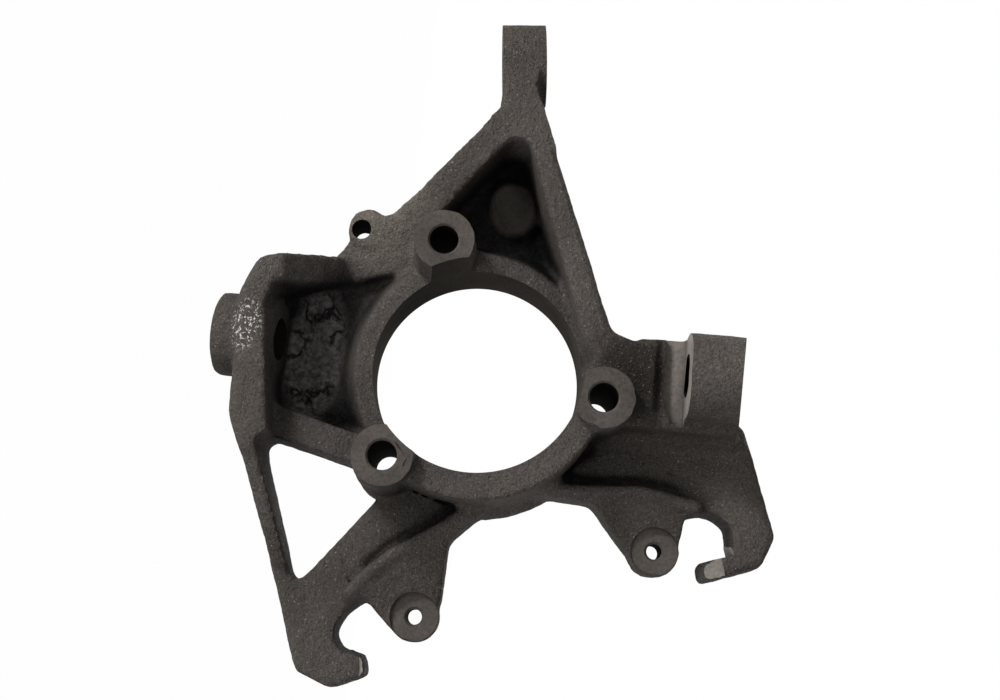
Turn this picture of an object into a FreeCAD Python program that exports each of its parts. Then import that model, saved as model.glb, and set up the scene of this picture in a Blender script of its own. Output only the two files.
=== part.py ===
"""Steering knuckle, one iron casting, for the right front wheel of a solid driven axle.

Millimetres.  The origin is the middle of the hub bore on the outboard hub face.  +Y runs
outboard along the wheel axis, +Z is up and +X is rearward.  A depth is a distance inboard of
the hub face, so a depth of 30 lies at y = -30.  Outlines are drawn in the plane of the hub face
as corners of (z, x, corner radius).
"""
import FreeCAD, Part
import math
import os

os.makedirs("parts", exist_ok=True)

# Hub seat: the bore, its ring and the three bolt bosses
HUB_BORE_RADIUS = 38.9
RING_WALL = 6.6
RING_DEPTH = 28.0
RING_FOOT_RADIUS = 53.0
FLANGE_RADIUS = 52.5
FLANGE_DEPTH = 9.0
CHIN_DISTANCE = 50.5
CHIN_ANGLE = 68.9
BRIDGE_WALL = 9.8
BRIDGE_TAPER = 1.0
BRIDGE_DEPTH = 47.0
BOLT_CIRCLE_RADIUS = 47.0
BOLT_FIRST_ANGLE = 8.5
BOLT_COUNT = 3
BOLT_HOLE_RADIUS = 5.25
BOLT_CHAMFER = 0.7
BOSS_RADIUS = 11.2
BOSS_DEPTH = 51.5

# Kingpin line through the two ball joint bosses
KINGPIN_X = -4.9
KINGPIN_DEPTH = 36.0
KINGPIN_LEAN = 8.7
JOINT_BOSS_RADIUS = 15.6
LOWER_BOSS_END = -96.7
LOWER_BOSS_ROOT = -82.0
LOWER_TAPER_START = -70.0
LOWER_TAPER_RADIUS = 8.2
UPPER_BOSS_END = 95.2
UPPER_SEAT = 74.5
UPPER_TAPER_RADIUS = 9.2
TAPER_SLOPE = 1.0 / 16.0
NUT_RELIEF_RADIUS = 18.0
NUT_RELIEF_START = 68.0

# Tie rod eye at the end of the steering arm
EYE_Z = 3.6
EYE_X = -122.4
EYE_DEPTH = 27.0
EYE_RADIUS = 15.7
EYE_WIDTH = 16.5
EYE_TURN = 7.0
EYE_TAPER_RADIUS = 7.0

# Depths of the cast walls, ribs and plates
WEB_FRONT = 10.0
WEB_BACK = 2.0
WALL_DEPTH = 43.0
PLATE_DEPTH = 25.0
PLATE_BACK = 5.0
RIDGE_DEPTH = 30.5
RIDGE_LIMIT = 34.0
LUG_DEPTH = 21.0
LUG_BACK = 1.0
ARM_RIB_DEPTH = 42.0
NECK_BACK = 15.0
BLOCK_DEPTH = 44.0
FLOOR_WALL_DEPTH = 28.0
TAB_DEPTH = 23.2
WINDOW_FOOT_DEPTH = 22.0
TAB_BACK = 8.0
CARRIER_DEPTH = 41.0
CRADLE_DEPTH = 47.5
PAD_HEIGHT = 3.0
DRAFT = 2.0
RIB_DRAFT = 3.5
CAST_ROUND = 1.6
SLOPE_DRAFT = 1.0
CARRIER_DRAFT = 0.5

# Small holes
TAB_RADIUS = 9.2
TAB_HOLE_RADIUS = 2.8
TAB_SPOT_RADIUS = 8.9
TAB_CHAMFER = 0.9
LUG_RADIUS = 7.4
LUG_HOLE_RADIUS = 3.75
LEFT_TAB_HOLE = (-12.1, 91.0)
RIGHT_TAB_HOLE = (72.5, 57.3)
LUG_HOLE = (-50.8, -51.8)
LUG_CENTRE = (-48.4, -53.0)

# Outlines of the casting
LOWER_WALL = [(-84.0, -33.4, 6.5), (-89.8, -17.0, 12.0), (-87.1, 27.0, 5.0), (-80.9, 40.6, 3.0),
              (-71.5, 38.0, 3.0), (-73.0, 28.0, 8.0), (-80.0, -15.0, 8.0), (-75.0, -32.8, 2.5)]
LOWER_PLATE = [(-82.4, 33.0, 3.0), (-80.3, 42.0, 8.0), (-54.0, 110.9, 3.0), (-52.0, 114.9, 2.0),
               (-39.4, 119.5, 2.5), (-26.9, 113.7, 1.6), (-28.9, 107.1, 1.6), (-38.0, 105.6, 3.5),
               (-40.8, 99.5, 3.5), (-38.0, 93.0, 3.5), (-31.0, 86.4, 2.0), (-7.5, 60.5, 3.0),
               (7.5, 50.0, 2.0), (-26.0, 31.0, 2.0)]
LOWER_WINDOW = [(-78.0, 30.8, 3.5), (-25.0, 42.2, 5.0), (-57.3, 86.2, 3.5)]
STRUT = [(-82.9, 34.0, 0.0), (-80.5, 41.0, 3.0), (-65.2, 79.5, 2.0), (-58.0, 76.0, 0.0),
         (-70.0, 38.0, 0.0), (-71.0, 32.0, 0.0)]
CORNER_WALL = [(-81.5, -32.8, 4.0), (-58.0, -40.2, 0.0), (-52.0, -40.0, 0.0), (-54.0, -31.5, 0.0),
               (-79.5, -23.0, 0.0)]
LOWER_WEB = [(-82.0, -30.0, 0.0), (-82.0, 36.0, 0.0), (-34.0, 41.0, 0.0), (-20.0, 38.0, 0.0),
             (-20.0, -42.0, 0.0), (-55.0, -36.0, 0.0)]
FLOOR_WALL = [(-79.0, 18.5, 0.0), (-41.7, 27.3, 0.0), (-27.0, 29.0, 0.0), (-27.0, 44.0, 0.0),
              (-36.0, 43.0, 0.0), (-79.0, 36.0, 0.0)]
LUG_PLATE = [(-60.0, -40.0, 0.0), (-55.8, -45.5, 4.0), (-50.0, -55.5, 4.0), (-39.0, -58.0, 8.0),
             (-24.2, -74.4, 6.0), (-3.8, -97.6, 2.0), (4.0, -95.0, 0.0), (5.0, -89.5, 0.0), (0.5, -86.3, 4.0),
             (-11.0, -73.0, 8.0), (-20.0, -60.5, 5.0),
             (-19.0, -41.0, 0.0), (-43.0, -35.2, 6.0), (-60.0, -28.8, 0.0)]
NECK = [(-1.5, -109.0, 6.0), (-2.6, -100.5, 3.0), (-6.6, -95.4, 0.0), (2.0, -88.2, 3.0), (9.6, -87.4, 3.0),
        (15.5, -76.0, 0.0), (20.0, -86.0, 0.0),
        (13.2, -102.0, 4.0), (9.5, -109.0, 6.0), (10.0, -121.0, 1.5), (-2.6, -119.5, 1.5)]
UPPER_RIB = [(7.0, -94.0, 2.0), (13.2, -99.3, 3.0), (47.3, -19.2, 5.0), (61.0, -15.0, 4.0),
             (50.0, 4.0, 2.0), (37.6, -16.5, 6.0)]
ARM_WEB = [(-4.0, -98.0, 0.0), (-46.0, -52.0, 0.0), (-40.0, -30.0, 0.0), (46.0, -18.0, 0.0),
           (13.0, -99.0, 0.0)]
PAD_START = (2.2, -74.0)
PAD_END = (9.8, -63.8)
PAD_RADIUS = 6.3
UPPER_BLOCK = [(47.5, -18.5, 3.0), (58.0, -15.9, 10.0), (66.5, -16.3, 2.0), (66.5, 13.8, 2.0),
               (40.0, 15.5, 3.0), (38.0, 0.0, 3.0)]
JOINT_CARRIER = [(58.0, -18.0, 0.0), (95.0, -19.5, 1.5), (97.0, 14.2, 2.0), (58.0, 15.0, 0.0)]
JOINT_CRADLE = [(76.0, -20.4, 0.0), (95.0, -20.4, 0.0), (95.0, 10.6, 0.0), (76.0, 10.6, 0.0)]
UPPER_PLATE = [(101.0, 7.0, 3.0), (116.3, 47.0, 2.5), (112.1, 58.4, 2.5), (91.7, 66.3, 1.6),
               (90.4, 60.2, 1.6), (101.3, 53.1, 1.6), (99.5, 44.9, 1.6), (94.4, 41.6, 2.0),
               (71.0, 37.9, 12.0), (30.0, 39.0, 2.0), (36.0, 10.0, 2.0)]
LOWER_TAB = [(-38.8, 86.2, 1.0), (-36.8, 89.4, 1.2), (-31.0, 86.0, 2.0), (-19.6, 96.5, 5.0),
             (-5.6, 97.0, 5.0), (-3.4, 84.0, 6.0), (-3.3, 62.5, 6.0), (8.2, 51.2, 2.0), (12.0, 43.0, 0.0),
             (7.0, 42.8, 0.0), (5.6, 48.8, 2.0), (-16.7, 64.9, 10.0), (-31.0, 76.8, 6.0)]
UPPER_TAB = [(28.0, 41.8, 0.0), (28.0, 38.0, 0.0), (69.8, 35.0, 12.0), (87.0, 37.5, 2.0),
             (89.4, 41.0, 1.5), (82.2, 43.4, 2.5), (81.2, 54.0, 4.0), (76.0, 65.0, 4.0), (66.7, 63.2, 5.0),
             (48.2, 42.4, 4.0), (36.0, 42.0, 2.0)]

# Sloping fronts, each given by three points of (z, x, depth)
CORNER_SLOPE = [(-57.0, -42.0, 19.5), (-57.0, -28.0, 21.5), (-74.0, -30.0, 41.0)]
ARM_SLOPE = [(-50.0, -52.0, 21.0), (-24.0, -36.0, 21.0), (-9.0, -89.0, 40.5)]
STRUT_SLOPE = [(-80.0, 36.0, 43.0), (-60.0, 36.0, 43.0), (-60.0, 82.0, 25.0)]
LOWER_TAB_SLOPE = [(-8.2, 59.3, RIDGE_DEPTH), (-31.0, 76.5, RIDGE_DEPTH), (-12.1, 91.0, TAB_DEPTH)]
UPPER_TAB_SLOPE = [(35.1, 37.5, RIDGE_DEPTH), (69.8, 34.9, RIDGE_DEPTH), (72.5, 57.3, TAB_DEPTH)]

# Construction
FAR = 400.0
CUT_SPARE = 5.0
OVERLAP = 2.0
SECTOR_REACH = 3.0
TINY = 1e-4


def at(z, x, depth):
    return FreeCAD.Vector(x, -depth, z)


def inset_corners(corners, inset):
    """The outline moved inward by inset, with its corner radii changed to suit."""
    count = len(corners)
    area = sum(corners[i - 1][0] * corners[i][1] - corners[i][0] * corners[i - 1][1] for i in range(count))
    side = 1.0 if area > 0.0 else -1.0
    lines = []
    for i in range(count):
        z0, x0, _ = corners[i]
        z1, x1, _ = corners[(i + 1) % count]
        length = math.hypot(z1 - z0, x1 - x0)
        dz, dx = (z1 - z0) / length, (x1 - x0) / length
        lines.append((z0 - dx * side * inset, x0 + dz * side * inset, dz, dx))
    moved = []
    for i in range(count):
        az, ax, adz, adx = lines[i - 1]
        bz, bx, bdz, bdx = lines[i]
        cross = adz * bdx - adx * bdz
        along = ((bz - az) * bdx - (bx - ax) * bdz) / cross
        radius = corners[i][2]
        changed = radius - inset if cross * side > 0.0 else radius + inset
        moved.append((az + along * adz, ax + along * adx, max(changed, 0.2) if corners[i][2] > 0.0 else 0.0))
    return moved


def outline_wire(corners, depth):
    """A closed wire through the corners at one depth, each corner rounded by its radius, or sharp at 0."""
    count = len(corners)
    ends = []
    for i in range(count):
        z, x, radius = corners[i]
        before = corners[i - 1]
        after = corners[(i + 1) % count]
        inward = FreeCAD.Vector(z - before[0], x - before[1], 0.0).normalize()
        outward = FreeCAD.Vector(after[0] - z, after[1] - x, 0.0).normalize()
        turn = inward.getAngle(outward)
        reach = radius * math.tan(turn / 2.0)
        bisector = (outward - inward).normalize()
        sag = radius / math.cos(turn / 2.0) - radius
        corner = FreeCAD.Vector(z, x, 0.0)
        start = corner - inward * reach
        middle = corner + bisector * sag
        end = corner + outward * reach
        ends.append([at(p.x, p.y, depth) for p in (start, middle, end)])
    edges = []
    for i in range(count):
        start, middle, end = ends[i]
        if corners[i][2] > 0.0:
            edges.append(Part.Arc(start, middle, end).toShape())
        edges.append(Part.LineSegment(end, ends[(i + 1) % count][0]).toShape())
    return Part.Wire(edges)


def prism(corners, back, front, draft=DRAFT):
    """A cast block between two depths.  The outline is its front, and the draft widens its back."""
    widening = (front - back) * math.tan(math.radians(draft))
    wires = [outline_wire(inset_corners(corners, -widening), back), outline_wire(corners, front)]
    return Part.makeLoft(wires, True, True)


def rounded_front(solid, front, radius=CAST_ROUND):
    """The solid with the edges of its flat front rounded."""
    edges = [edge for edge in solid.Edges if all(abs(v.Y + front) < TINY for v in edge.Vertexes)]
    return solid.makeFillet(radius, edges)


def cast_block(corners, back, front, radius=CAST_ROUND, draft=DRAFT):
    return rounded_front(prism(corners, back, front, draft), front, radius)


def beyond(points):
    """A large block filling all that lies inboard of the plane through three points."""
    a, b, c = [at(*point) for point in points]
    normal = (b - a).cross(c - a).normalize()
    if normal.y > 0.0:
        normal = normal * -1.0
    block = Part.makeBox(FAR, FAR, FAR, FreeCAD.Vector(-FAR / 2.0, -FAR / 2.0, 0.0))
    turn = FreeCAD.Rotation(FreeCAD.Vector(0.0, 0.0, 1.0), normal)
    block.Placement = FreeCAD.Placement(a, turn) * block.Placement
    return block


def sloping_block(corners, back, points, front):
    """A cast block that ends at a depth or at the plane through three points, whichever comes first."""
    return prism(corners, back, front, SLOPE_DRAFT).cut(beyond(points))


def along_wheel(z, x, radius, back, front, front_radius=None):
    """A round cast or cut form along the wheel axis between two depths."""
    narrow = radius if front_radius is None else front_radius
    if abs(narrow - radius) < TINY:
        return Part.makeCylinder(radius, front - back, at(z, x, back), FreeCAD.Vector(0.0, -1.0, 0.0))
    return Part.makeCone(radius, narrow, front - back, at(z, x, back), FreeCAD.Vector(0.0, -1.0, 0.0))


def kingpin_point(z):
    return at(z, KINGPIN_X, KINGPIN_DEPTH + z * math.tan(math.radians(KINGPIN_LEAN)))


def along_kingpin(z0, z1, radius0, radius1=None):
    """A round form on the kingpin line between two heights."""
    start, end = kingpin_point(z0), kingpin_point(z1)
    axis = end - start
    last = radius0 if radius1 is None else radius1
    if abs(last - radius0) < TINY:
        return Part.makeCylinder(radius0, axis.Length, start, axis)
    return Part.makeCone(radius0, last, axis.Length, start, axis)


def bolt_places():
    places = []
    for i in range(BOLT_COUNT):
        angle = math.radians(BOLT_FIRST_ANGLE + 360.0 * i / BOLT_COUNT)
        places.append((BOLT_CIRCLE_RADIUS * math.cos(angle), BOLT_CIRCLE_RADIUS * math.sin(angle)))
    return places


def hub_seat():
    """Ring, outboard flange with its chin flat, the deep bridge between two bosses, the bosses."""
    rim = HUB_BORE_RADIUS + RING_WALL
    ring = along_wheel(0.0, 0.0, RING_FOOT_RADIUS, FLANGE_DEPTH - OVERLAP, RING_DEPTH, rim)
    flange = along_wheel(0.0, 0.0, FLANGE_RADIUS, 0.0, FLANGE_DEPTH)
    chin = Part.makeBox(FAR, 2.0 * FAR, 2.0 * FAR, FreeCAD.Vector(CHIN_DISTANCE, -FAR, -FAR))
    chin.rotate(FreeCAD.Vector(0.0, 0.0, 0.0), FreeCAD.Vector(0.0, 1.0, 0.0), 90.0 - CHIN_ANGLE)
    seat = flange.fuse(ring).cut(chin)
    bridge = along_wheel(0.0, 0.0, HUB_BORE_RADIUS + BRIDGE_WALL + BRIDGE_TAPER, 0.0, BRIDGE_DEPTH,
                         HUB_BORE_RADIUS + BRIDGE_WALL)
    places = bolt_places()
    middle = math.radians(BOLT_FIRST_ANGLE + 180.0 / BOLT_COUNT)
    corners = [(0.0, 0.0), places[0], (2.0 * BOLT_CIRCLE_RADIUS * math.cos(middle),
                                       2.0 * BOLT_CIRCLE_RADIUS * math.sin(middle)), places[1], (0.0, 0.0)]
    sector = Part.Face(Part.makePolygon([at(SECTOR_REACH * z, SECTOR_REACH * x, 0.0) for z, x in corners]))
    bridge = bridge.common(sector.extrude(FreeCAD.Vector(0.0, -BRIDGE_DEPTH, 0.0)))
    seat = seat.fuse(bridge)
    foot = BOSS_RADIUS + BOSS_DEPTH * math.tan(math.radians(DRAFT))
    for z, x in places:
        seat = seat.fuse(along_wheel(z, x, foot, 0.0, BOSS_DEPTH, BOSS_RADIUS))
    return seat


def lower_box():
    """The wall that carries the lower ball joint, its pocket and the plate of the lower hook."""
    wall = cast_block(LOWER_WALL, WEB_BACK, WALL_DEPTH)
    plate = cast_block(LOWER_PLATE, PLATE_BACK, PLATE_DEPTH)
    strut = sloping_block(STRUT, PLATE_BACK, STRUT_SLOPE, WALL_DEPTH)
    corner = sloping_block(CORNER_WALL, WEB_BACK, CORNER_SLOPE, WALL_DEPTH)
    floor_wall = prism(FLOOR_WALL, WEB_BACK, FLOOR_WALL_DEPTH)
    web = prism(LOWER_WEB, WEB_BACK, WEB_FRONT)
    solid = wall.fuse([plate, strut, corner, floor_wall, web])
    window = prism(LOWER_WINDOW, -CUT_SPARE, WALL_DEPTH + CUT_SPARE, 0.0)
    solid = solid.cut(window)
    return solid.fuse(along_kingpin(LOWER_BOSS_END, LOWER_BOSS_ROOT, JOINT_BOSS_RADIUS))


def steering_arm():
    """Two ribs and a web with its oval pad, running forward to the tie rod eye."""
    lug = sloping_block(LUG_PLATE, WEB_BACK, ARM_SLOPE, ARM_RIB_DEPTH)
    neck = prism(NECK, NECK_BACK, ARM_RIB_DEPTH)
    rib = cast_block(UPPER_RIB, WEB_BACK, ARM_RIB_DEPTH, CAST_ROUND, RIB_DRAFT)
    web = prism(ARM_WEB, WEB_BACK, WEB_FRONT)
    pad_front = WEB_FRONT + PAD_HEIGHT
    pad = along_wheel(*PAD_START, PAD_RADIUS, WEB_BACK, pad_front)
    pad = pad.fuse(along_wheel(*PAD_END, PAD_RADIUS, WEB_BACK, pad_front))
    across = FreeCAD.Vector(PAD_END[0] - PAD_START[0], PAD_END[1] - PAD_START[1], 0.0).normalize()
    side = (-across.y * PAD_RADIUS, across.x * PAD_RADIUS)
    corners = [(PAD_START[0] + side[0], PAD_START[1] + side[1]), (PAD_END[0] + side[0], PAD_END[1] + side[1]),
               (PAD_END[0] - side[0], PAD_END[1] - side[1]), (PAD_START[0] - side[0], PAD_START[1] - side[1])]
    middle = Part.Face(Part.makePolygon([at(z, x, WEB_BACK) for z, x in corners + corners[:1]]))
    pad = pad.fuse(middle.extrude(FreeCAD.Vector(0.0, WEB_BACK - pad_front, 0.0)))
    lug_eye = along_wheel(*LUG_CENTRE, LUG_RADIUS, LUG_BACK, LUG_DEPTH)
    return lug.fuse([neck, rib, web, pad, lug_eye, eye_form(EYE_RADIUS, EYE_WIDTH)])


def eye_axis():
    turn = math.radians(EYE_TURN)
    return FreeCAD.Vector(-math.sin(turn), 0.0, math.cos(turn))


def eye_form(radius, width, end_radius=None):
    axis = eye_axis()
    start = at(EYE_Z, EYE_X, EYE_DEPTH) - axis * (width / 2.0)
    if end_radius is None:
        return Part.makeCylinder(radius, width, start, axis)
    return Part.makeCone(radius, end_radius, width, start, axis)


def upper_box():
    """The block and carrier of the upper ball joint with the plate of the upper hook."""
    block = cast_block(UPPER_BLOCK, PLATE_BACK, BLOCK_DEPTH)
    carrier = prism(JOINT_CARRIER, PLATE_BACK, CARRIER_DEPTH, CARRIER_DRAFT)
    cradle = prism(JOINT_CRADLE, PLATE_BACK, CRADLE_DEPTH, 0.0)
    boss = along_kingpin(UPPER_SEAT - OVERLAP, UPPER_BOSS_END, JOINT_BOSS_RADIUS)
    plate = cast_block(UPPER_PLATE, PLATE_BACK, PLATE_DEPTH)
    return block.fuse([carrier, cradle, boss, plate])


def caliper_tabs():
    """The two ears, each falling from its ridge on the plate to a round end."""
    lower = sloping_block(LOWER_TAB, TAB_BACK, LOWER_TAB_SLOPE, RIDGE_LIMIT)
    upper = sloping_block(UPPER_TAB, TAB_BACK, UPPER_TAB_SLOPE, RIDGE_LIMIT)
    tabs = lower.fuse(upper)
    for z, x in (LEFT_TAB_HOLE, RIGHT_TAB_HOLE):
        tabs = tabs.fuse(along_wheel(z, x, TAB_RADIUS, TAB_BACK, TAB_DEPTH))
    return tabs


def machined_cuts():
    """Bores, spot faces, tapers and the nut relief."""
    cuts = [along_wheel(0.0, 0.0, HUB_BORE_RADIUS, -CUT_SPARE, BOSS_DEPTH + CUT_SPARE)]
    cuts.append(prism(LOWER_WINDOW, -CUT_SPARE, WINDOW_FOOT_DEPTH, 0.0))
    for z, x in bolt_places():
        cuts.append(along_wheel(z, x, BOLT_HOLE_RADIUS, -CUT_SPARE, BOSS_DEPTH + CUT_SPARE))
        cuts.append(along_wheel(z, x, BOLT_HOLE_RADIUS, BOSS_DEPTH - BOLT_CHAMFER, BOSS_DEPTH,
                                BOLT_HOLE_RADIUS + BOLT_CHAMFER))
    for z, x in (LEFT_TAB_HOLE, RIGHT_TAB_HOLE):
        cuts.append(along_wheel(z, x, TAB_HOLE_RADIUS, -CUT_SPARE, TAB_DEPTH + CUT_SPARE))
        cuts.append(along_wheel(z, x, TAB_HOLE_RADIUS, TAB_DEPTH - TAB_CHAMFER, TAB_DEPTH,
                                TAB_HOLE_RADIUS + TAB_CHAMFER))
        cuts.append(along_wheel(z, x, TAB_SPOT_RADIUS, TAB_DEPTH, RIDGE_LIMIT))
    cuts.append(along_wheel(*LUG_HOLE, LUG_HOLE_RADIUS, -CUT_SPARE, ARM_RIB_DEPTH))
    cuts.append(along_kingpin(NUT_RELIEF_START, UPPER_SEAT, NUT_RELIEF_RADIUS))
    upper_small = UPPER_TAPER_RADIUS - (UPPER_BOSS_END - UPPER_SEAT) * TAPER_SLOPE
    cuts.append(along_kingpin(UPPER_SEAT, UPPER_BOSS_END, upper_small, UPPER_TAPER_RADIUS))
    lower_small = LOWER_TAPER_RADIUS + (LOWER_BOSS_END - LOWER_TAPER_START) * TAPER_SLOPE
    cuts.append(along_kingpin(LOWER_BOSS_END, LOWER_TAPER_START, lower_small, LOWER_TAPER_RADIUS))
    eye_small = EYE_TAPER_RADIUS - EYE_WIDTH * TAPER_SLOPE
    cuts.append(eye_form(EYE_TAPER_RADIUS, EYE_WIDTH, eye_small))
    return cuts


def knuckle():
    casting = hub_seat().fuse([lower_box(), steering_arm(), upper_box(), caliper_tabs()])
    casting = casting.cut(machined_cuts())
    return casting.removeSplitter()


def main():
    solid = knuckle()
    print("solids", len(solid.Solids), "valid", solid.isValid(), "volume", round(solid.Volume / 1000.0), "cm3")
    solid.Solids[0].exportStep("parts/knuckle.step")


main()
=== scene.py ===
"""Steering knuckle: the frame's casting with its sand-cast skin, ridges and machined seats, and a studio."""

import bpy
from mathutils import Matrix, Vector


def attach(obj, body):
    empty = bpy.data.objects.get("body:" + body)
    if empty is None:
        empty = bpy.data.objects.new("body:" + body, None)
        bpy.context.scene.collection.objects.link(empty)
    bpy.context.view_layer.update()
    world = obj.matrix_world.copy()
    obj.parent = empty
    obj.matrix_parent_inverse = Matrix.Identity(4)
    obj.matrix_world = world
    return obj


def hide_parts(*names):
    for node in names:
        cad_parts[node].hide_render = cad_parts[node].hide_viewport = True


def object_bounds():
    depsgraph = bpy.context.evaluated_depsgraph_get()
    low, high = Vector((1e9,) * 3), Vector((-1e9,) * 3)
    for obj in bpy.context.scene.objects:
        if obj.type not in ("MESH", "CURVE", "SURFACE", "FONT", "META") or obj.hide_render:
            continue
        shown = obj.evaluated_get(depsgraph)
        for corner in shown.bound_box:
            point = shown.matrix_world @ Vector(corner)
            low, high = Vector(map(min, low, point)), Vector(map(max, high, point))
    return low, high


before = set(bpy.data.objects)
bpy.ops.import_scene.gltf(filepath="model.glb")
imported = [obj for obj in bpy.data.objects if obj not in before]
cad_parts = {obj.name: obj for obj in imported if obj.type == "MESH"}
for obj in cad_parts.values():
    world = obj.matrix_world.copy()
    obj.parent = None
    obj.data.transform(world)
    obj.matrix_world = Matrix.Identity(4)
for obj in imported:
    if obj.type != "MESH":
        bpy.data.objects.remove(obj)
CAD_BOX = [list(corner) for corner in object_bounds()]

import bpy
import math
from mathutils import Matrix, Vector

MM = 0.001

# Sizes of the casting, as in the part's source: heights z, places x and depths inboard, in mm
BORE_RADIUS = 38.9
RING_DEPTH = 28.0
FLANGE_RADIUS = 52.5
CHIN_DISTANCE = 50.5
CHIN_ANGLE = 68.9
BRIDGE_DEPTH = 47.0
BOLT_CIRCLE = 47.0
BOLT_ANGLES = (8.5, 128.5, 248.5)
BOLT_HOLE = 5.25
BOLT_CHAMFER = 0.7
BOSS_RADIUS = 11.2
BOSS_DEPTH = 51.5
KINGPIN_X = -4.9
KINGPIN_DEPTH = 36.0
KINGPIN_LEAN = 8.7
JOINT_BOSS_RADIUS = 15.6
LOWER_BOSS_END = -96.7
LOWER_TAPER = (-70.0, 8.2)
UPPER_BOSS_END = 95.2
UPPER_SEAT = 74.5
UPPER_TAPER_RADIUS = 9.2
TAPER_SLOPE = 1.0 / 16.0
EYE = (3.6, -122.4, 27.0)
EYE_RADIUS = 15.7
EYE_WIDTH = 16.5
EYE_TURN = 7.0
EYE_TAPER_RADIUS = 7.0
TAB_HOLES = ((-12.1, 91.0), (72.5, 57.3))
TAB_HOLE = 2.8
TAB_RADIUS = 9.2
TAB_SPOT_RADIUS = 8.9
TAB_DEPTH = 23.2
TAB_CHAMFER = 0.9
LUG_HOLE = (-50.8, -51.8)
LUG_HOLE_RADIUS = 3.75
LUG_DEPTH = 21.0
ALLOWANCE = 1.5

# Softening of the cast surface
VOXEL = 1.2 * MM

# Cast forms on the front: outlines are (z, x), lines are (z, x, depth)
SADDLE = [(-6.0, 42.0), (4.2, 43.2), (6.0, 46.0), (5.0, 49.5), (8.0, 50.4), (10.5, 47.8), (13.9, 45.6),
          (20.9, 42.6), (28.1, 40.2), (31.5, 38.4), (29.6, 35.0), (33.0, 29.5), (30.0, 26.0), (0.0, 39.5)]
SADDLE_DEPTH = (8.0, 28.6)
LOWER_LIP = [(-19.3, 40.6, 28.2), (-7.8, 43.6, 28.4), (1.4, 43.0, 28.6), (4.5, 44.4, 28.8), (5.4, 46.6, 29.0),
             (3.2, 50.0, 29.2)]
LOWER_RIDGE = [(3.2, 50.0, 29.2), (-8.0, 59.2, 29.4), (-22.9, 69.6, 29.4), (-30.0, 77.0, 29.2),
               (-36.6, 85.0, 28.0)]
UPPER_LIP = [(42.6, 18.6, 29.0), (37.0, 23.6, 29.0), (32.8, 28.6, 28.8), (28.9, 33.3, 28.6), (29.6, 37.0, 28.8)]
UPPER_RIDGE = [(29.6, 37.0, 28.8), (34.1, 38.9, 29.1), (49.5, 37.9, 29.4), (64.5, 36.2, 29.4), (72.0, 36.9, 29.2),
               (85.2, 40.6, 28.0)]
PANEL_LINE = [(44.0, 18.2, 26.4), (62.8, 17.2, 26.2), (81.3, 16.2, 26.0), (102.0, 15.4, 25.6)]
BLOCK_RIDGE = [(64.2, -16.0, 42.2), (63.5, -3.0, 42.4), (63.6, 12.2, 42.2)]
BLOCK_FOOT = [(44.0, 14.2, 42.4), (64.5, 13.0, 42.4)]
LOWER_GUTTER = [(-17.0, 44.2, 25.6), (-6.0, 46.8, 25.6), (2.0, 46.8, 25.8), (-8.0, 55.2, 25.6),
                (-24.0, 66.2, 25.8), (-31.5, 74.5, 26.0)]
UPPER_GUTTER = [(44.4, 22.6, 25.4), (39.0, 27.0, 25.2), (35.2, 31.2, 25.0), (33.2, 34.6, 25.2), (50.0, 34.6, 25.4),
                (65.0, 32.8, 25.4), (78.0, 34.6, 26.0)]
STRIP_VALLEY = [(66.2, -22.0, 44.0), (66.9, -2.0, 44.0), (67.4, 9.0, 44.0)]
PAD_GROOVE = [(-4.8, -75.6, 11.0), (-3.0, -81.0, 11.0), (4.0, -82.6, 11.0), (9.6, -78.0, 11.0), (17.2, -67.0, 11.0),
              (16.6, -59.4, 11.0), (9.4, -55.8, 11.0), (3.4, -59.6, 11.0), (-4.8, -75.6, 11.0)]
BOSS_BLEND = [(67.5, 8.0, 46.0), (67.5, 19.0, 26.0), (67.5, 8.0, 20.0)]
BOSS_BLEND_END = 98.0
FLOOR_SKIN = [(-67.5, -28.4), (-54.7, -26.6), (-50.9, -18.3), (-53.6, -10.1), (-54.3, -3.7), (-52.0, 7.4),
              (-47.5, 20.9), (-65.9, 18.1), (-70.5, 17.4), (-71.0, -0.2), (-69.6, -16.2)]
FLOOR_SKIN_DEPTH = (8.0, 11.6)
FLASH = [((97.5, 11.5, 29.0), (101.5, 8.0, 30.0), 1.0), ((100.5, 9.0, 30.0), (102.6, 5.8, 30.5), 0.7),
         ((6.8, 51.6, 18.0), (9.0, 53.0, 17.0), 0.8), ((-36.0, 106.8, 22.0), (-30.5, 104.2, 21.0), 0.9)]

# Machined places that are cut square, each with its outline, its floor's depth and its reach
STRIP = [(67.2, -24.0), (67.4, -16.4), (68.0, -3.4), (68.6, 5.6), (69.8, 9.6), (71.8, 12.2), (74.4, 13.4),
         (76.6, 13.4), (75.2, -4.3), (75.2, -24.0)]
STRIP_DEPTH = (39.6, 70.0)
JAW_TIPS = [[(85.5, 57.0), (96.6, 54.4), (99.6, 64.9), (88.0, 69.0)],
            [(-30.4, 105.8), (-22.0, 104.0), (-20.0, 115.0), (-29.0, 118.0)]]
JAW_TIP_DEPTH = (24.2, 32.0)
JAW_WALL = [(90.0, 48.0), (97.6, 45.2), (101.7, 55.2), (90.0, 59.2)]
JAW_WALL_DEPTH = (-5.0, 40.0)

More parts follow.
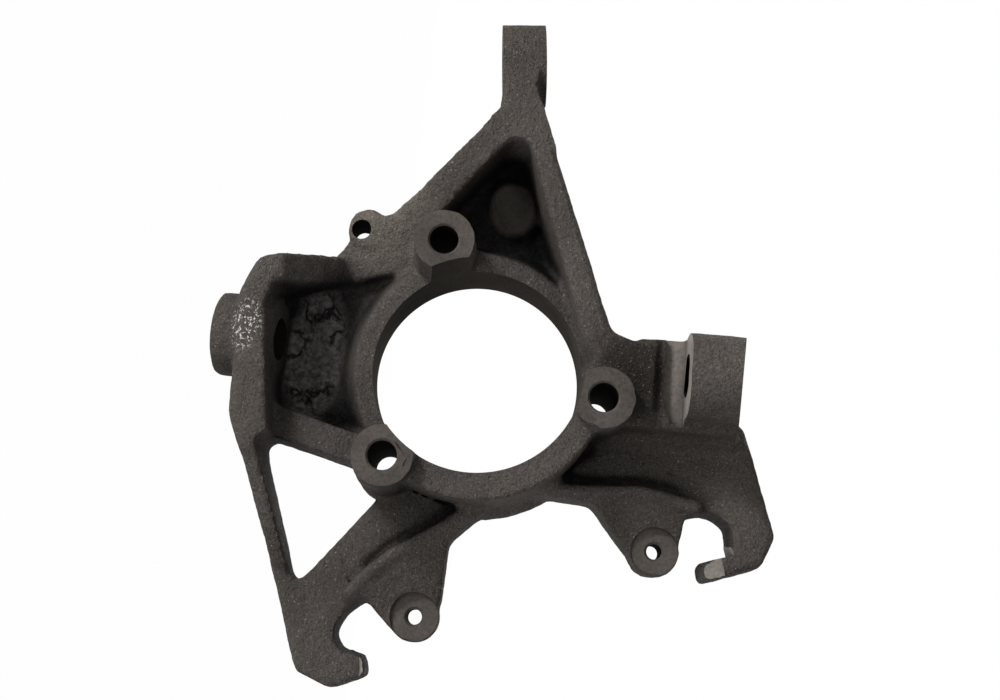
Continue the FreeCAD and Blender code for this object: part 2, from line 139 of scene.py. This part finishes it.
# Cast flaws: the place, the half sizes along, across and into the metal, and the turn of each
GOUGES = [((-40.4, 74.0, 25.4), (3.6, 0.7, 0.8), 64.0), ((-37.4, 80.4, 25.4), (2.4, 0.6, 0.7), 58.0),
          ((75.8, 28.2, 25.4), (2.0, 0.8, 0.7), 20.0), ((79.4, 29.4, 25.4), (1.8, 0.6, 0.6), 40.0),
          ((44.0, 17.4, 51.7), (2.4, 0.35, 0.5), 15.0),
          ((-24.0, 33.0, 51.7), (2.6, 0.3, 0.5), 50.0), ((-21.0, 38.5, 51.7), (2.0, 0.3, 0.5), 110.0),
          ((7.0, 48.6, 29.2), (1.6, 0.8, 0.9), 10.0)]


def at(z, x, depth):
    return Vector((x, -depth, z)) * MM


def kingpin_point(z):
    return at(z, KINGPIN_X, KINGPIN_DEPTH + z * math.tan(math.radians(KINGPIN_LEAN)))


def bolt_places():
    return [(BOLT_CIRCLE * math.cos(math.radians(a)), BOLT_CIRCLE * math.sin(math.radians(a)))
            for a in BOLT_ANGLES]


# Working with one piece at a time
def choose(*pieces):
    if bpy.context.mode != "OBJECT":
        bpy.ops.object.mode_set(mode="OBJECT")
    bpy.ops.object.select_all(action="DESELECT")
    for piece in pieces:
        piece.select_set(True)
    bpy.context.view_layer.objects.active = pieces[0]


def settle(piece):
    """The piece's place, turn and size go into its mesh."""
    choose(piece)
    bpy.ops.object.transform_apply(location=True, rotation=True, scale=True)
    return piece


def shape_with(piece, kind, **settings):
    """Add a modifier, set it and apply it."""
    choose(piece)
    modifier = piece.modifiers.new(kind.lower(), kind)
    for name, value in settings.items():
        setattr(modifier, name, value)
    bpy.ops.object.modifier_apply(modifier=modifier.name)
    return piece


def join(pieces):
    choose(*pieces)
    if len(pieces) > 1:
        bpy.ops.object.join()
    return bpy.context.view_layer.objects.active


def round_bar(start, end, radius, end_radius=None, sides=128):
    """A round solid from one point to another."""
    axis = end - start
    bpy.ops.mesh.primitive_cone_add(vertices=sides, radius1=radius * MM,
                                    radius2=(radius if end_radius is None else end_radius) * MM,
                                    depth=axis.length, location=(start + end) / 2.0,
                                    rotation=axis.to_track_quat("Z", "Y").to_euler())
    return settle(bpy.context.object)


def along_wheel(z, x, radius, back, front, front_radius=None, sides=128):
    return round_bar(at(z, x, back), at(z, x, front), radius, front_radius, sides)


def block(low, high):
    """A square block between two corners, each (z, x, depth)."""
    a, b = at(*low), at(*high)
    bpy.ops.mesh.primitive_cube_add(size=1.0, location=(a + b) / 2.0)
    piece = bpy.context.object
    piece.scale = [abs(b[i] - a[i]) for i in range(3)]
    return settle(piece)


def extruded(corners, along):
    """A solid drawn from a flat outline of points, pulled out along a direction."""
    bpy.ops.mesh.primitive_circle_add(vertices=len(corners), fill_type="NGON")
    piece = settle(bpy.context.object)
    for vertex, corner in zip(piece.data.vertices, corners):
        vertex.co = corner
    choose(piece)
    bpy.ops.object.mode_set(mode="EDIT")
    bpy.ops.mesh.select_all(action="SELECT")
    bpy.ops.mesh.extrude_region_move(TRANSFORM_OT_translate={"value": along})
    bpy.ops.mesh.select_all(action="SELECT")
    bpy.ops.mesh.normals_make_consistent(inside=False)
    bpy.ops.object.mode_set(mode="OBJECT")
    return piece


def plate(corners, back, front):
    return extruded([at(z, x, back) for z, x in corners], at(0.0, 0.0, front - back))


def bead(line, radius, sides=20):
    """A round-backed ridge or groove along a line of (z, x, depth) points."""
    points = [at(*point) for point in line]
    parts = [round_bar(a, b, radius, sides=sides) for a, b in zip(points, points[1:])]
    for point in points:
        bpy.ops.mesh.primitive_ico_sphere_add(subdivisions=3, radius=radius * MM, location=point)
        parts.append(settle(bpy.context.object))
    return join(parts)


def nick(place, halves, turned):
    """A long drop-shaped cutter for a flaw in the surface."""
    along, across, deep = halves
    bpy.ops.mesh.primitive_ico_sphere_add(subdivisions=3, radius=MM, location=at(*place),
                                          rotation=(0.0, math.radians(turned), 0.0))
    piece = bpy.context.object
    piece.scale = (across, deep, along)
    return settle(piece)


def slice_off(piece, point, normal):
    """Cut the piece at a plane and keep what lies against the normal."""
    choose(piece)
    bpy.ops.object.mode_set(mode="EDIT")
    bpy.ops.mesh.select_all(action="SELECT")
    bpy.ops.mesh.bisect(plane_co=point, plane_no=normal, use_fill=True, clear_outer=True)
    bpy.ops.object.mode_set(mode="OBJECT")
    return piece


# The rough casting: the frame's solid with the metal that machining takes off still on it
def machining_stock():
    stock = [along_wheel(0.0, 0.0, BORE_RADIUS + 1.0, -ALLOWANCE, RING_DEPTH)]
    flange = along_wheel(0.0, 0.0, FLANGE_RADIUS, -ALLOWANCE, 4.0)
    chin = Vector((math.sin(math.radians(CHIN_ANGLE)), 0.0, math.cos(math.radians(CHIN_ANGLE))))
    stock.append(slice_off(flange, chin * CHIN_DISTANCE * MM, chin))
    bridge = along_wheel(0.0, 0.0, BORE_RADIUS + 1.0, 2.0, BRIDGE_DEPTH)
    for angle, side in ((BOLT_ANGLES[0], -1.0), (BOLT_ANGLES[1], 1.0)):
        turn = math.radians(angle)
        across = Vector((math.cos(turn), 0.0, -math.sin(turn))) * side
        slice_off(bridge, (0.0, 0.0, 0.0), across)
    stock.append(bridge)
    for z, x in bolt_places():
        stock.append(along_wheel(z, x, BOSS_RADIUS + 1.2, -ALLOWANCE, BOSS_DEPTH + ALLOWANCE, BOSS_RADIUS))
    for z, x in TAB_HOLES:
        stock.append(along_wheel(z, x, TAB_RADIUS, 8.0, TAB_DEPTH + ALLOWANCE))
    stock.append(along_wheel(*LUG_HOLE, LUG_HOLE_RADIUS + 1.5, 1.2, LUG_DEPTH))
    stock.append(round_bar(kingpin_point(LOWER_BOSS_END - ALLOWANCE), kingpin_point(-75.0), JOINT_BOSS_RADIUS))
    stock.append(round_bar(kingpin_point(UPPER_SEAT - 2.0), kingpin_point(UPPER_BOSS_END + ALLOWANCE),
                           JOINT_BOSS_RADIUS))
    stock.append(block((64.0, -18.6, 20.0), (UPPER_SEAT + 2.5, 14.4, 43.0)))
    turn = math.radians(EYE_TURN)
    along = Vector((-math.sin(turn), 0.0, math.cos(turn))) * MM
    half = EYE_WIDTH / 2.0 + ALLOWANCE
    stock.append(round_bar(at(*EYE) - along * half, at(*EYE) + along * half, EYE_RADIUS))
    return stock


def cast_forms():
    """Saddle, lips, ridges, the skin on the pocket's floor and the flash."""
    forms = [plate(SADDLE, *SADDLE_DEPTH), plate(FLOOR_SKIN, *FLOOR_SKIN_DEPTH)]
    blend = [at(*corner) for corner in BOSS_BLEND]
    forms.append(extruded(blend, at(BOSS_BLEND_END - BOSS_BLEND[0][0], 0.0, 0.0)))
    for line, radius in ((LOWER_LIP, 2.0), (LOWER_RIDGE, 2.4), (UPPER_LIP, 2.4), (UPPER_RIDGE, 2.4),
                         (PANEL_LINE, 1.8), (BLOCK_RIDGE, 2.2), (BLOCK_FOOT, 2.0)):
        forms.append(bead(line, radius))
    forms += [round_bar(at(*start), at(*end), radius, radius * 0.6, 12) for start, end, radius in FLASH]
    return forms


def cast_gutters():
    """The valleys beside the ridges, made one solid so that they cut cleanly."""
    valleys = join([bead(LOWER_GUTTER, 2.4), bead(UPPER_GUTTER, 2.5), bead(STRIP_VALLEY, 2.2),
                    bead(PAD_GROOVE, 1.5)])
    return shape_with(valleys, "REMESH", mode="VOXEL", voxel_size=0.7 * MM)


def unevenness(name, size):
    texture = bpy.data.textures.new(name, "CLOUDS")
    texture.noise_scale = size * MM
    return texture


def soften(piece, chosen, passes):
    """Smooth only where the chosen test of (z, x, depth) says so, as a large cast fillet."""
    group = piece.vertex_groups.new(name="soft")
    picked = [v.index for v in piece.data.vertices
              if chosen(v.co.z / MM, v.co.x / MM, -v.co.y / MM)]
    group.add(picked, 1.0, "REPLACE")
    shape_with(piece, "SMOOTH", factor=0.5, iterations=passes, vertex_group="soft")
    piece.vertex_groups.remove(piece.vertex_groups["soft"])


def rough_casting():
    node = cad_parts["knuckle"]
    casting = node.copy()
    casting.data = node.data.copy()
    casting.name = "knuckle_casting"
    for key in list(casting.keys()):
        del casting[key]
    bpy.context.scene.collection.objects.link(casting)
    casting.parent = None
    choose(casting)
    bpy.ops.object.mode_set(mode="EDIT")
    bpy.ops.mesh.select_all(action="SELECT")
    bpy.ops.mesh.remove_doubles(threshold=0.001 * MM)
    bpy.ops.object.mode_set(mode="OBJECT")
    casting = join([casting] + machining_stock() + cast_forms())
    casting.data.materials.clear()
    shape_with(casting, "REMESH", mode="VOXEL", voxel_size=VOXEL, use_smooth_shade=True)
    valleys = cast_gutters()
    shape_with(casting, "BOOLEAN", operation="DIFFERENCE", object=valleys, solver="EXACT")
    bpy.data.objects.remove(valleys)
    shape_with(casting, "REMESH", mode="VOXEL", voxel_size=VOXEL, use_smooth_shade=True)
    shape_with(casting, "SMOOTH", factor=0.5, iterations=2)
    soften(casting, lambda z, x, d: -82.0 < z < -34.0 and -34.0 < x < 34.0 and 8.0 < d < 24.0
           and math.hypot(z, x) > 47.0, 10)
    soften(casting, lambda z, x, d: -30.0 < z < 42.0 and -100.0 < x < -44.0 and 8.0 < d < 30.0
           and math.hypot(z, x) > 48.0, 12)
    soften(casting, lambda z, x, d: 66.0 < z < 104.0 and 6.0 < x < 24.0 and 22.0 < d < 50.0, 14)
    soften(casting, lambda z, x, d: -12.0 < z < 34.0 and 40.0 < x < 56.0 and 22.0 < d < 32.0, 5)
    soften(casting, lambda z, x, d: 2.0 < z < 34.0 and 34.0 < x < 56.0 and 5.0 < d < 27.5
           and math.hypot(z, x) > 42.0, 25)
    shape_with(casting, "DISPLACE", texture=unevenness("long_waves", 18.0), strength=0.7 * MM, mid_level=0.5)
    shape_with(casting, "DISPLACE", texture=unevenness("sand_grain", 2.6), strength=0.35 * MM, mid_level=0.5)
    return casting


# Machining
def machining_cuts():
    """Cutters in the order that they are used, each with the name of its finish."""
    bolts = bolt_places()
    cuts = [("turned", along_wheel(0.0, 0.0, BORE_RADIUS, -10.0, BOSS_DEPTH + 10.0, sides=256)),
            ("milled", plate(JAW_WALL, *JAW_WALL_DEPTH)),
            ("faced", block((-140.0, -160.0, -12.0), (140.0, 160.0, 0.0))),
            ("faced", join([along_wheel(z, x, BOSS_RADIUS + 3.0, BOSS_DEPTH, BOSS_DEPTH + 6.0) for z, x in bolts])),
            ("spotted", join([along_wheel(z, x, TAB_SPOT_RADIUS, TAB_DEPTH, TAB_DEPTH + 9.0)
                              for z, x in TAB_HOLES])),
            ("drilled", join([along_wheel(z, x, BOLT_HOLE, -5.0, BOSS_DEPTH + 5.0) for z, x in bolts]
                             + [along_wheel(z, x, TAB_HOLE, -5.0, TAB_DEPTH + 5.0, sides=64) for z, x in TAB_HOLES]
                             + [along_wheel(*LUG_HOLE, LUG_HOLE_RADIUS, -5.0, LUG_DEPTH + 10.0, sides=64)])),
            ("faced", join([along_wheel(z, x, BOLT_HOLE - 0.5, BOSS_DEPTH - BOLT_CHAMFER - 0.5, BOSS_DEPTH + 1.0,
                                        BOLT_HOLE + BOLT_CHAMFER + 1.0) for z, x in bolts]
                           + [along_wheel(z, x, TAB_HOLE, TAB_DEPTH - TAB_CHAMFER, TAB_DEPTH + 0.5,
                                          TAB_HOLE + TAB_CHAMFER + 0.5, sides=64) for z, x in TAB_HOLES])),
            ("milled", join([plate(STRIP, *STRIP_DEPTH)] + [plate(tip, *JAW_TIP_DEPTH) for tip in JAW_TIPS]))]
    upper_small = UPPER_TAPER_RADIUS - (UPPER_BOSS_END - UPPER_SEAT) * TAPER_SLOPE
    cuts.append(("faced", round_bar(kingpin_point(UPPER_BOSS_END), kingpin_point(UPPER_BOSS_END + 8.0), 24.0)))
    cuts.append(("drilled", round_bar(kingpin_point(UPPER_SEAT + 0.2), kingpin_point(UPPER_BOSS_END + 2.0),
                                     upper_small, UPPER_TAPER_RADIUS)))
    start, radius = LOWER_TAPER
    lower_small = radius + (LOWER_BOSS_END - start) * TAPER_SLOPE
    cuts.append(("faced", round_bar(kingpin_point(LOWER_BOSS_END - 8.0), kingpin_point(LOWER_BOSS_END), 24.0)))
    cuts.append(("drilled", round_bar(kingpin_point(LOWER_BOSS_END - 2.0), kingpin_point(start),
                                     lower_small, radius)))
    turn = math.radians(EYE_TURN)
    along = Vector((-math.sin(turn), 0.0, math.cos(turn))) * MM
    middle, half = at(*EYE), EYE_WIDTH / 2.0
    cuts.append(("faced", join([round_bar(middle + along * side * half, middle + along * side * (half + 6.0),
                                          EYE_RADIUS + 0.8) for side in (-1.0, 1.0)])))
    cuts.append(("turned", round_bar(middle - along * (half + 2.0), middle + along * (half + 2.0),
                                     EYE_TAPER_RADIUS, EYE_TAPER_RADIUS - EYE_WIDTH * TAPER_SLOPE)))
    cuts.append(("cast", join([nick(*flaw) for flaw in GOUGES])))
    return cuts


def machine(casting, finishes):
    casting.data.materials.append(finishes["cast"])
    for finish, cutter in machining_cuts():
        cutter.data.materials.append(finishes[finish])
        shape_with(casting, "BOOLEAN", operation="DIFFERENCE", object=cutter, solver="EXACT",
                   material_mode="TRANSFER")
        bpy.data.objects.remove(cutter)
    choose(casting)
    bpy.ops.object.shade_smooth_by_angle(angle=math.radians(32.0))
    return casting


# Finishes
class Finish:
    """A material's nodes, added and joined by name."""

    def __init__(self, name):
        self.material = bpy.data.materials.new(name)
        self.material.use_nodes = True
        self.nodes = self.material.node_tree.nodes
        self.links = self.material.node_tree.links
        self.shader = self.nodes["Principled BSDF"]
        self.place = self.nodes.new("ShaderNodeTexCoord").outputs["Object"]

    def node(self, kind, **settings):
        made = self.nodes.new("ShaderNode" + kind)
        for name, value in settings.items():
            setattr(made, name, value)
        return made

    def feed(self, socket, value):
        if hasattr(value, "links"):
            self.links.new(value, socket)
        elif isinstance(value, (int, float)):
            socket.default_value = value
        else:
            socket.default_value = (*value, 1.0)

    def noise(self, scale, detail=4.0, roughness=0.6, output="Fac"):
        made = self.node("TexNoise")
        for name, value in (("Scale", scale), ("Detail", detail), ("Roughness", roughness)):
            made.inputs[name].default_value = value
        self.links.new(self.place, made.inputs["Vector"])
        return made.outputs[output]

    def ramp(self, value, low, high, dark=(0, 0, 0), light=(1, 1, 1)):
        made = self.node("ValToRGB")
        made.color_ramp.elements[0].position = low
        made.color_ramp.elements[1].position = high
        made.color_ramp.elements[0].color = (*dark, 1.0)
        made.color_ramp.elements[1].color = (*light, 1.0)
        self.links.new(value, made.inputs["Fac"])
        return made.outputs["Color"]

    def mix(self, factor, a, b, blend="MIX"):
        made = self.node("Mix", data_type="RGBA", blend_type=blend)
        for socket, value in ((0, factor), (6, a), (7, b)):
            self.feed(made.inputs[socket], value)
        return made.outputs[2]

    def sum(self, kind, a, b):
        made = self.node("Math", operation=kind)
        self.feed(made.inputs[0], a)
        self.feed(made.inputs[1], b)
        return made.outputs[0]

    def zone(self, middle, halves):
        """1 at a place (z, x, depth) and falling to 0 at its half sizes away."""
        mapping = self.node("Mapping", vector_type="TEXTURE")
        mapping.inputs["Location"].default_value = at(*middle)
        mapping.inputs["Scale"].default_value = (halves[1] * MM, halves[2] * MM, halves[0] * MM)
        self.links.new(self.place, mapping.inputs["Vector"])
        ball = self.node("TexGradient", gradient_type="SPHERICAL")
        self.links.new(mapping.outputs[0], ball.inputs[0])
        return ball.outputs["Fac"]

    def bump(self, height, distance, strength=1.0, under=None):
        made = self.node("Bump")
        made.inputs["Strength"].default_value = strength
        made.inputs["Distance"].default_value = distance
        self.links.new(height, made.inputs["Height"])
        if under is not None:
            self.links.new(under, made.inputs["Normal"])
        return made.outputs["Normal"]

    def hollow(self, distance, low, high):
        """1 in the open and 0 deep in a pocket."""
        made = self.node("AmbientOcclusion", samples=6)
        made.inputs["Distance"].default_value = distance * MM
        return self.ramp(made.outputs["AO"], low, high)

    def cracks(self, scale, wander, width):
        """1 in thin wandering cracks and 0 between them."""
        shift = self.node("VectorMath", operation="MULTIPLY_ADD")
        self.links.new(self.noise(110.0, 3.0, 0.5, "Color"), shift.inputs[0])
        shift.inputs[1].default_value = (wander * MM,) * 3
        self.links.new(self.place, shift.inputs[2])
        cells = self.node("TexVoronoi", feature="DISTANCE_TO_EDGE")
        cells.inputs["Scale"].default_value = scale
        self.links.new(shift.outputs[0], cells.inputs["Vector"])
        return self.sum("SUBTRACT", 1.0, self.ramp(cells.outputs["Distance"], 0.0, width))

    def set(self, **values):
        for name, value in values.items():
            socket = self.shader.inputs[name.replace("_", " ")]
            if hasattr(value, "links"):
                self.links.new(value, socket)
            else:
                socket.default_value = value


def cast_finish():
    iron = Finish("sand_cast_iron")
    patches = iron.noise(22.0, 5.0, 0.62)
    grain = iron.noise(1000.0, 3.0, 0.7)
    lumps = iron.noise(330.0, 3.0, 0.6)
    colour = iron.ramp(patches, 0.3, 0.72, (0.074, 0.065, 0.058), (0.129, 0.115, 0.104))
    colour = iron.mix(1.0, colour, iron.ramp(grain, 0.36, 0.64, (0.66, 0.65, 0.64)), "MULTIPLY")
    # Lighter round the lug plate.
    lug_lighter = iron.ramp(iron.zone((-40.0, -52.0, 24.0), (30.0, 30.0, 30.0)), 0.05, 0.45)
    colour = iron.mix(lug_lighter, colour, iron.mix(1.0, colour, (1.6, 1.57, 1.54), "MULTIPLY"))
    # Painted shade: the upper block and the panel below it are darkened where shadow falls.
    block_painted_shade = iron.ramp(iron.zone((56.0, -2.0, 42.0), (22.0, 28.0, 16.0)), 0.1, 0.5)
    colour = iron.mix(block_painted_shade, colour, iron.mix(1.0, colour, (0.50, 0.49, 0.48), "MULTIPLY"))
    # Painted glints: thresholded noise puts small light specks over the whole cast skin.
    colour = iron.mix(iron.ramp(iron.noise(1300.0, 2.0, 0.6), 0.64, 0.72), colour, (0.24, 0.22, 0.20))
    # Painted glints: near-white specks on the front of the lower box, where highlights fall.
    glint_zone = iron.ramp(iron.zone((-85.0, -6.0, 34.0), (8.0, 15.0, 18.0)), 0.1, 0.4)
    painted_glints = iron.sum("MULTIPLY", glint_zone, iron.ramp(iron.noise(700.0, 3.0, 0.7), 0.55, 0.59))
    colour = iron.mix(painted_glints, colour, (0.75, 0.73, 0.70))

    # Painted shade: the pockets and the box's inner wall go near black, only where ambient occlusion finds a hollow.
    pocket_shade = iron.sum("MAXIMUM", iron.ramp(iron.zone((-60.0, -4.0, 12.0), (30.0, 44.0, 30.0)), 0.06, 0.3),
                    iron.ramp(iron.zone((4.0, -66.0, 9.0), (34.0, 40.0, 20.0)), 0.06, 0.3))
    pocket_shade = iron.sum("MAXIMUM", pocket_shade, iron.ramp(iron.zone((-74.0, -4.0, 22.0), (8.0, 36.0, 24.0)), 0.06, 0.3))
    # Painted shade: ambient occlusion darkens every hollow and crease of the cast colour.
    shade = iron.hollow(26.0, 0.32, 0.92)
    pocket_shade = iron.sum("MULTIPLY", pocket_shade, iron.sum("SUBTRACT", 1.0, iron.hollow(26.0, 0.60, 0.90)))
    pocket_shade_colour = iron.mix(iron.ramp(lumps, 0.42, 0.66), (0.020, 0.019, 0.020), (0.045, 0.043, 0.043))
    colour = iron.mix(pocket_shade, colour, pocket_shade_colour)
    colour = iron.mix(1.0, colour, iron.mix(shade, (0.06, 0.06, 0.07), (1.0, 1.0, 1.0)), "MULTIPLY")

    skin = iron.ramp(iron.zone((-63.0, -3.0, 11.6), (13.0, 31.0, 4.0)), 0.02, 0.3)
    here = iron.ramp(iron.noise(60.0, 3.0, 0.6), 0.40, 0.52)
    crust = iron.mix(iron.ramp(iron.noise(420.0, 4.0, 0.7), 0.38, 0.62), (0.050, 0.047, 0.045), (0.170, 0.160, 0.155))
    colour = iron.mix(skin, colour, crust)
    pad = iron.ramp(iron.zone((6.0, -69.0, 12.0), (11.0, 13.0, 8.0)), 0.1, 0.3)
    colour = iron.mix(pad, colour, (0.085, 0.075, 0.066))
    split = iron.sum("MULTIPLY", iron.sum("MULTIPLY", iron.cracks(80.0, 16.0, 0.07), skin), here)
    colour = iron.mix(split, colour, (0.004, 0.004, 0.005))

    normal = iron.bump(lumps, 1.6 * MM, 1.0)
    normal = iron.bump(grain, 1.3 * MM, 1.0, normal)
    normal = iron.bump(iron.sum("SUBTRACT", 1.0, split), 1.2 * MM, 1.0, normal)
    iron.set(Base_Color=colour, Roughness=iron.ramp(grain, 0.3, 0.75, (0.85,) * 3, (0.55,) * 3), Normal=normal,
             Specular_IOR_Level=0.07)
    return iron.material


def machined_finish(name, light, roughness, gloss=0.06):
    iron = Finish(name)
    fine = iron.noise(900.0, 2.0, 0.5)
    stain = iron.noise(70.0, 5.0, 0.65)
    colour = iron.ramp(stain, 0.3, 0.7, tuple(c * 0.62 for c in light), light)
    colour = iron.mix(1.0, colour, iron.ramp(fine, 0.3, 0.6, (0.72, 0.72, 0.72)), "MULTIPLY")
    # Painted shade: ambient occlusion darkens the machined faces in hollows.
    shade = iron.hollow(14.0, 0.1, 0.8)
    colour = iron.mix(1.0, colour, iron.mix(shade, (0.12, 0.12, 0.12), (1.0, 1.0, 1.0)), "MULTIPLY")
    normal = iron.bump(fine, 0.08 * MM, 0.6)
    iron.set(Base_Color=colour, Roughness=roughness, Normal=normal, Specular_IOR_Level=gloss)
    return iron.material


# Camera and studio
CAMERA_PLACE = Vector((95.32, -581.53, 12.24)) * MM
CAMERA_AHEAD = Vector((-0.1869, 0.9823, -0.0085))
CAMERA_UP = Vector((-0.9754, -0.1866, -0.1173))
LENS = 54.35


def put_camera():
    data = bpy.data.cameras.new("camera")
    data.lens = LENS
    data.sensor_width = 36.0
    data.clip_start = 0.01
    camera = bpy.data.objects.new("camera", data)
    bpy.context.scene.collection.objects.link(camera)
    back = -CAMERA_AHEAD.normalized()
    right = CAMERA_UP.cross(back).normalized()
    up = back.cross(right)
    turn = Matrix((right, up, back)).transposed()
    camera.matrix_world = Matrix.Translation(CAMERA_PLACE) @ turn.to_4x4()
    bpy.context.scene.camera = camera


def lamp(name, place, aim, size, power, colour=(1.0, 1.0, 1.0)):
    data = bpy.data.lights.new(name, "AREA")
    data.size = size
    data.energy = power
    data.color = colour
    light = bpy.data.objects.new(name, data)
    bpy.context.scene.collection.objects.link(light)
    light.location = place
    light.rotation_euler = (Vector(place) - Vector(aim)).to_track_quat("Z", "Y").to_euler()


def seen_white(nodes, links):
    """1 where the camera, a reflection or glass looks at this, and 0 for light that falls on things."""
    path = nodes.new("ShaderNodeLightPath")
    total = path.outputs["Is Camera Ray"]
    for name in ("Is Glossy Ray", "Is Transmission Ray"):
        add = nodes.new("ShaderNodeMath")
        add.operation = "ADD"
        add.use_clamp = True
        links.new(total, add.inputs[0])
        links.new(path.outputs[name], add.inputs[1])
        total = add.outputs[0]
    return total


def studio():
    world = bpy.data.worlds.new("studio")
    bpy.context.scene.world = world
    world.use_nodes = True
    nodes, links = world.node_tree.nodes, world.node_tree.links
    air = nodes["Background"]
    air.inputs["Color"].default_value = (1.0, 1.0, 1.0, 1.0)
    air.inputs["Strength"].default_value = 0.15
    white = nodes.new("ShaderNodeBackground")
    white.inputs["Color"].default_value = (1.0, 1.0, 1.0, 1.0)
    mix = nodes.new("ShaderNodeMixShader")
    links.new(seen_white(nodes, links), mix.inputs["Fac"])
    links.new(air.outputs[0], mix.inputs[1])
    links.new(white.outputs[0], mix.inputs[2])
    links.new(mix.outputs[0], nodes["World Output"].inputs["Surface"])

    bpy.ops.mesh.primitive_plane_add(size=1.6, location=(0.0, 0.0, CAD_BOX[0][2] - 0.5 * MM))
    floor = bpy.context.object
    floor.name = "floor"
    floor.visible_shadow = False
    paper = bpy.data.materials.new("white_floor")
    paper.use_nodes = True
    nodes, links = paper.node_tree.nodes, paper.node_tree.links
    shader = nodes["Principled BSDF"]
    shader.inputs["Base Color"].default_value = (0.8, 0.8, 0.8, 1.0)
    shader.inputs["Roughness"].default_value = 0.9
    shader.inputs["Specular IOR Level"].default_value = 0.1
    glow = nodes.new("ShaderNodeEmission")
    glow.inputs["Color"].default_value = (1.0, 1.0, 1.0, 1.0)
    part_glow = nodes.new("ShaderNodeMath")
    part_glow.operation = "MULTIPLY"
    part_glow.inputs[1].default_value = 0.985
    links.new(seen_white(nodes, links), part_glow.inputs[0])
    mix = nodes.new("ShaderNodeMixShader")
    links.new(part_glow.outputs[0], mix.inputs["Fac"])
    links.new(shader.outputs[0], mix.inputs[1])
    links.new(glow.outputs[0], mix.inputs[2])
    links.new(mix.outputs[0], nodes["Material Output"].inputs["Surface"])
    floor.data.materials.append(paper)

    lamp("key", (-0.55, -0.55, -0.55), (0.0, 0.0, 0.0), 0.20, 8.6)
    lamp("low_left", (0.50, -0.60, -0.50), (0.0, 0.0, 0.0), 0.30, 3.4)
    lamp("front", (0.05, -0.95, 0.20), (0.0, 0.0, 0.0), 0.40, 1.5)
    lamp("back", (-0.60, 0.60, 0.60), (0.0, 0.0, 0.0), 0.50, 4.0)


put_camera()
studio()
finishes = {"cast": cast_finish(),
            "faced": machined_finish("faced_iron", (0.100, 0.088, 0.078), 0.55, 0.02),
            "milled": machined_finish("milled_iron", (0.300, 0.272, 0.245), 0.50, 0.04),
            "spotted": machined_finish("spot_faced_iron", (0.105, 0.092, 0.081), 0.48, 0.04),
            "turned": machined_finish("turned_iron", (0.060, 0.052, 0.045), 0.80, 0.01),
            # The drilled finish's near-black colour is partly the coated iron and partly painted shade inside the
            # holes and tapers.
            "drilled": machined_finish("drilled_iron_painted_shade", (0.016, 0.014, 0.012), 0.85, 0.01)}
casting = machine(rough_casting(), finishes)
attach(casting, "root")
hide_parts("knuckle")

bpy.context.scene.view_settings.view_transform = "Standard"
